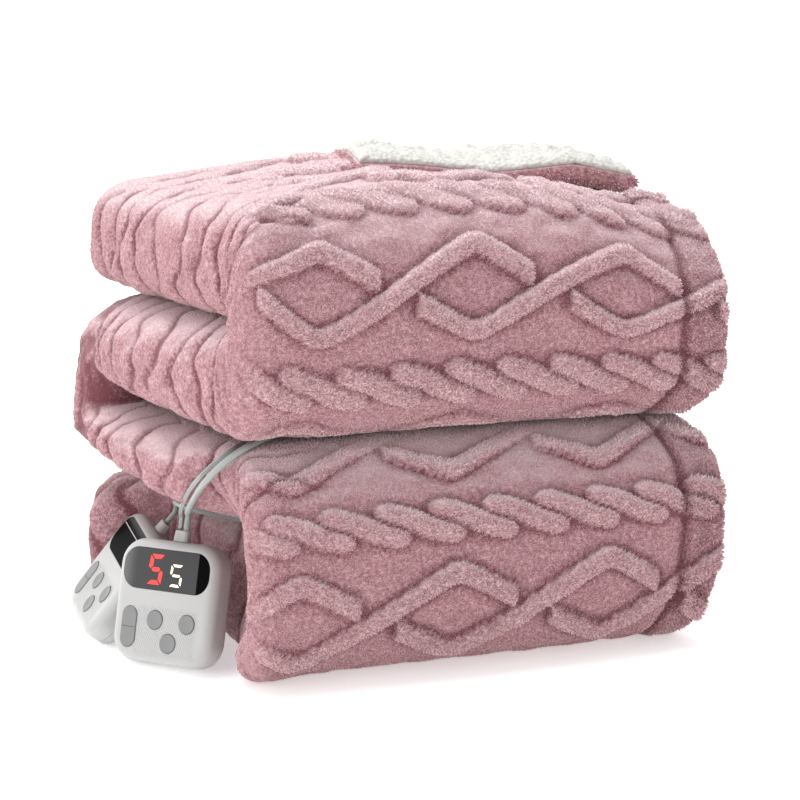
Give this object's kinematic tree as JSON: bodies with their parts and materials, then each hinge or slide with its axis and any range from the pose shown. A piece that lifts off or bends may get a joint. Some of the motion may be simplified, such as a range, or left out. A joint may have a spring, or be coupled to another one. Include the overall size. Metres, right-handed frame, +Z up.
{
  "type": "folded electric heated blanket",
  "caption": "Sculpted plush heated blanket folded into a stack, its sherpa edge turned back on top, with hand controllers on leads standing against its left side.",
  "frame": {"origin": "on the underside, under the middle of the stack", "axes": "+X along the front face towards the hem at the right, +Y to the back, +Z up"},
  "size_m": [0.4534, 0.3132, 0.3746],
  "materials": {
    "rose_plush": "sculpted plush",
    "white_sherpa": "curly sherpa pile",
    "light_grey_plastic": "satin moulded",
    "mid_grey_plastic": "satin moulded",
    "smoked_display": "smoked lens",
    "grey_lead": "smooth jacket"
  },
  "bodies": {
    "blanket": {"blanket_cloth": "rose_plush", "sherpa_lining": "white_sherpa", "controller_1_front_shell": "light_grey_plastic", "controller_1_back_shell": "light_grey_plastic", "controller_1_display": "smoked_display", "controller_1_collar": "light_grey_plastic", "controller_2_front_shell": "light_grey_plastic", "controller_2_back_shell": "light_grey_plastic", "controller_2_display": "smoked_display", "controller_2_collar": "light_grey_plastic", "lead_1_twin": "grey_lead", "lead_1_twin_hank": "grey_lead", "lead_1_main": "grey_lead", "lead_1_main_hank": "grey_lead", "lead_2_main": "grey_lead", "lead_2_main_hank": "grey_lead"},
    "controller_1_rocker": {"controller_1_rocker": "mid_grey_plastic"},
    "controller_1_key_1": {"controller_1_key_1": "mid_grey_plastic"},
    "controller_1_key_2": {"controller_1_key_2": "mid_grey_plastic"},
    "controller_1_key_3": {"controller_1_key_3": "mid_grey_plastic"},
    "controller_2_rocker": {"controller_2_rocker": "mid_grey_plastic"},
    "controller_2_key_1": {"controller_2_key_1": "mid_grey_plastic"},
    "controller_2_key_2": {"controller_2_key_2": "mid_grey_plastic"},
    "controller_2_key_3": {"controller_2_key_3": "mid_grey_plastic"}
  },
  "joints": [
    {"name": "controller_1_key_1_press", "type": "slide", "parent": "blanket", "child": "controller_1_key_1", "axis": [0.7989, 0.5389, -0.2672], "range_m": [0, 0.0008], "stiffness_N_per_m": 300},
    {"name": "controller_1_key_2_press", "type": "slide", "parent": "blanket", "child": "controller_1_key_2", "axis": [0.7989, 0.5389, -0.2672], "range_m": [0, 0.0008], "stiffness_N_per_m": 300},
    {"name": "controller_1_key_3_press", "type": "slide", "parent": "blanket", "child": "controller_1_key_3", "axis": [0.7989, 0.5389, -0.2672], "range_m": [0, 0.0008], "stiffness_N_per_m": 300},
    {"name": "controller_1_rocker_tilt", "type": "hinge", "parent": "blanket", "child": "controller_1_rocker", "pos_m": [-0.22943, -0.02379, 0.02955], "axis": [0.5676, -0.8224, 0.0387], "range_deg": [-2.5, 2.5], "stiffness_Nm_per_rad": 0.3},
    {"name": "controller_2_key_1_press", "type": "slide", "parent": "blanket", "child": "controller_2_key_1", "axis": [0.7923, -0.0415, -0.6088], "range_m": [0, 0.0008], "stiffness_N_per_m": 300},
    {"name": "controller_2_key_2_press", "type": "slide", "parent": "blanket", "child": "controller_2_key_2", "axis": [0.7923, -0.0415, -0.6088], "range_m": [0, 0.0008], "stiffness_N_per_m": 300},
    {"name": "controller_2_key_3_press", "type": "slide", "parent": "blanket", "child": "controller_2_key_3", "axis": [0.7923, -0.0415, -0.6088], "range_m": [0, 0.0008], "stiffness_N_per_m": 300},
    {"name": "controller_2_rocker_tilt", "type": "hinge", "parent": "blanket", "child": "controller_2_rocker", "pos_m": [-0.22558, 0.08954, 0.03796], "axis": [-0.126, -0.9873, -0.0967], "range_deg": [-2.5, 2.5], "stiffness_Nm_per_rad": 0.3}
  ]
}
